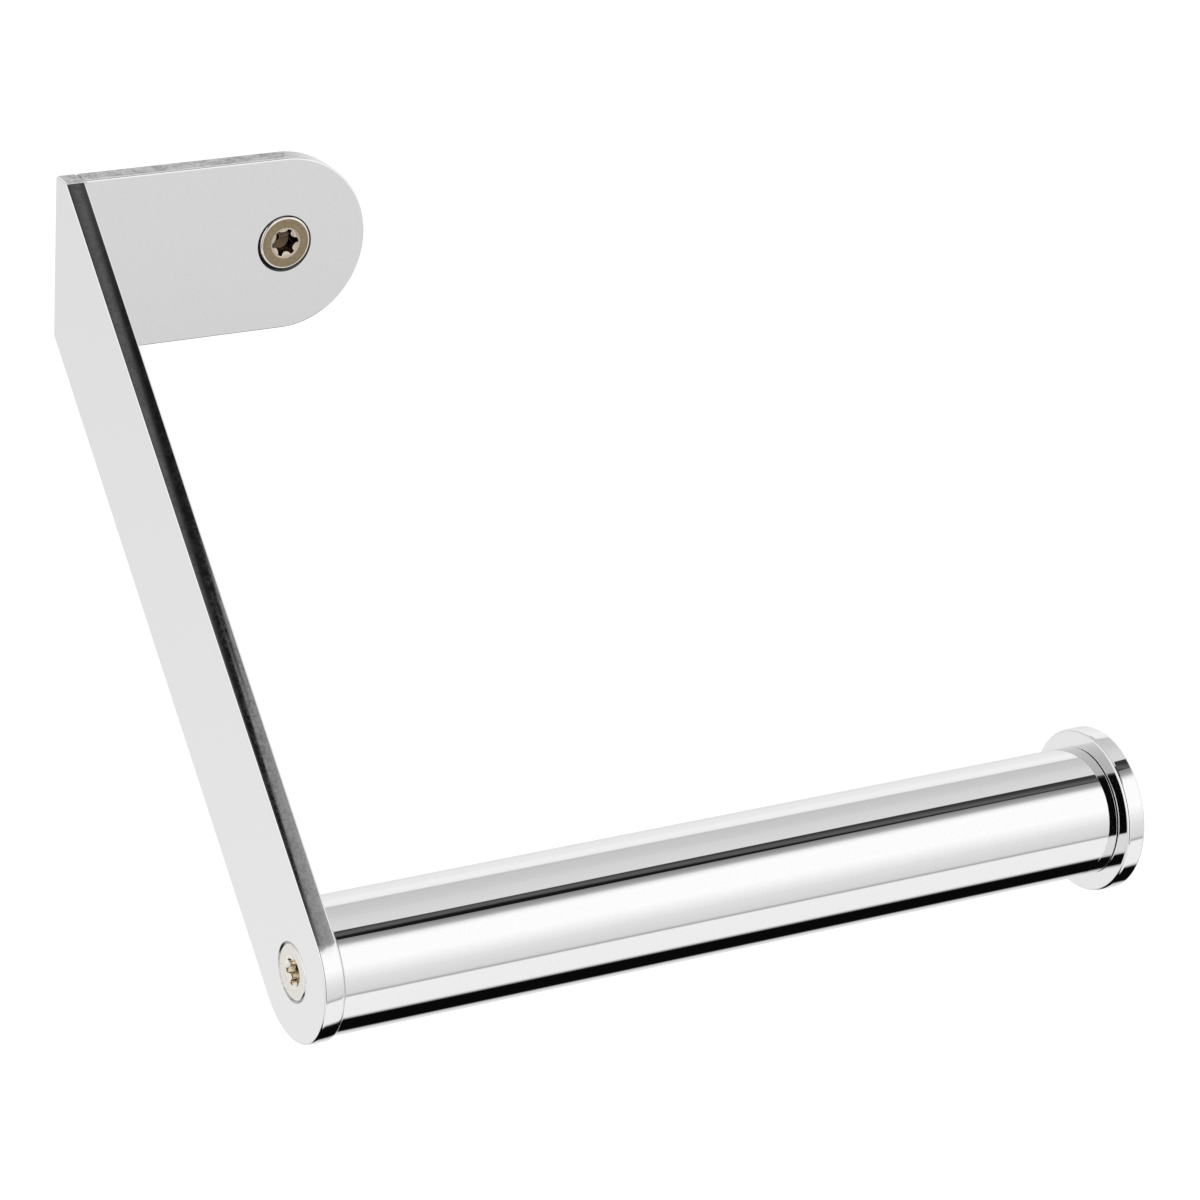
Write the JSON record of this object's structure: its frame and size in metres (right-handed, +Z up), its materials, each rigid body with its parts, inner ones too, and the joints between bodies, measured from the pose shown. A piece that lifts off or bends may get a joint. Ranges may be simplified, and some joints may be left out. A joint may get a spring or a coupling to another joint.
{
  "type": "toilet paper holder",
  "caption": "Wall-mounted toilet paper holder: flat plate, sloping side arm and a free-turning roller with an end disc, open on one side.",
  "frame": {"origin": "on the wall screw's axis, in the plane of the wall", "axes": "+X along the wall towards the roller's open end, +Y into the wall, +Z up"},
  "size_m": [0.153, 0.13, 0.114],
  "materials": {
    "plate_chrome": "polished",
    "arm_chrome": "polished",
    "tube_chrome": "mirror polished",
    "disc_chrome": "mirror polished",
    "wall_screw_nickel": "satin nickel plate",
    "arm_screw_nickel": "satin nickel plate",
    "turned_steel": "turned, zinc plated",
    "nylon": "moulded"
  },
  "bodies": {
    "bracket": {"wall_plate": "plate_chrome", "side_arm": "arm_chrome", "wall_screw": "wall_screw_nickel", "arm_screw": "arm_screw_nickel", "spindle": "turned_steel", "locating_pin": "turned_steel", "end_stud": "turned_steel", "end_disc": "disc_chrome", "left_washer": "nylon", "right_washer": "nylon"},
    "roller": {"roller_tube": "tube_chrome", "left_bush": "nylon", "right_bush": "nylon"}
  },
  "joints": [
    {"name": "roller_spin", "type": "hinge", "parent": "bracket", "child": "roller", "pos_m": [0.0365, -0.095, -0.085], "axis": [1, 0, 0], "continuous": true}
  ]
}
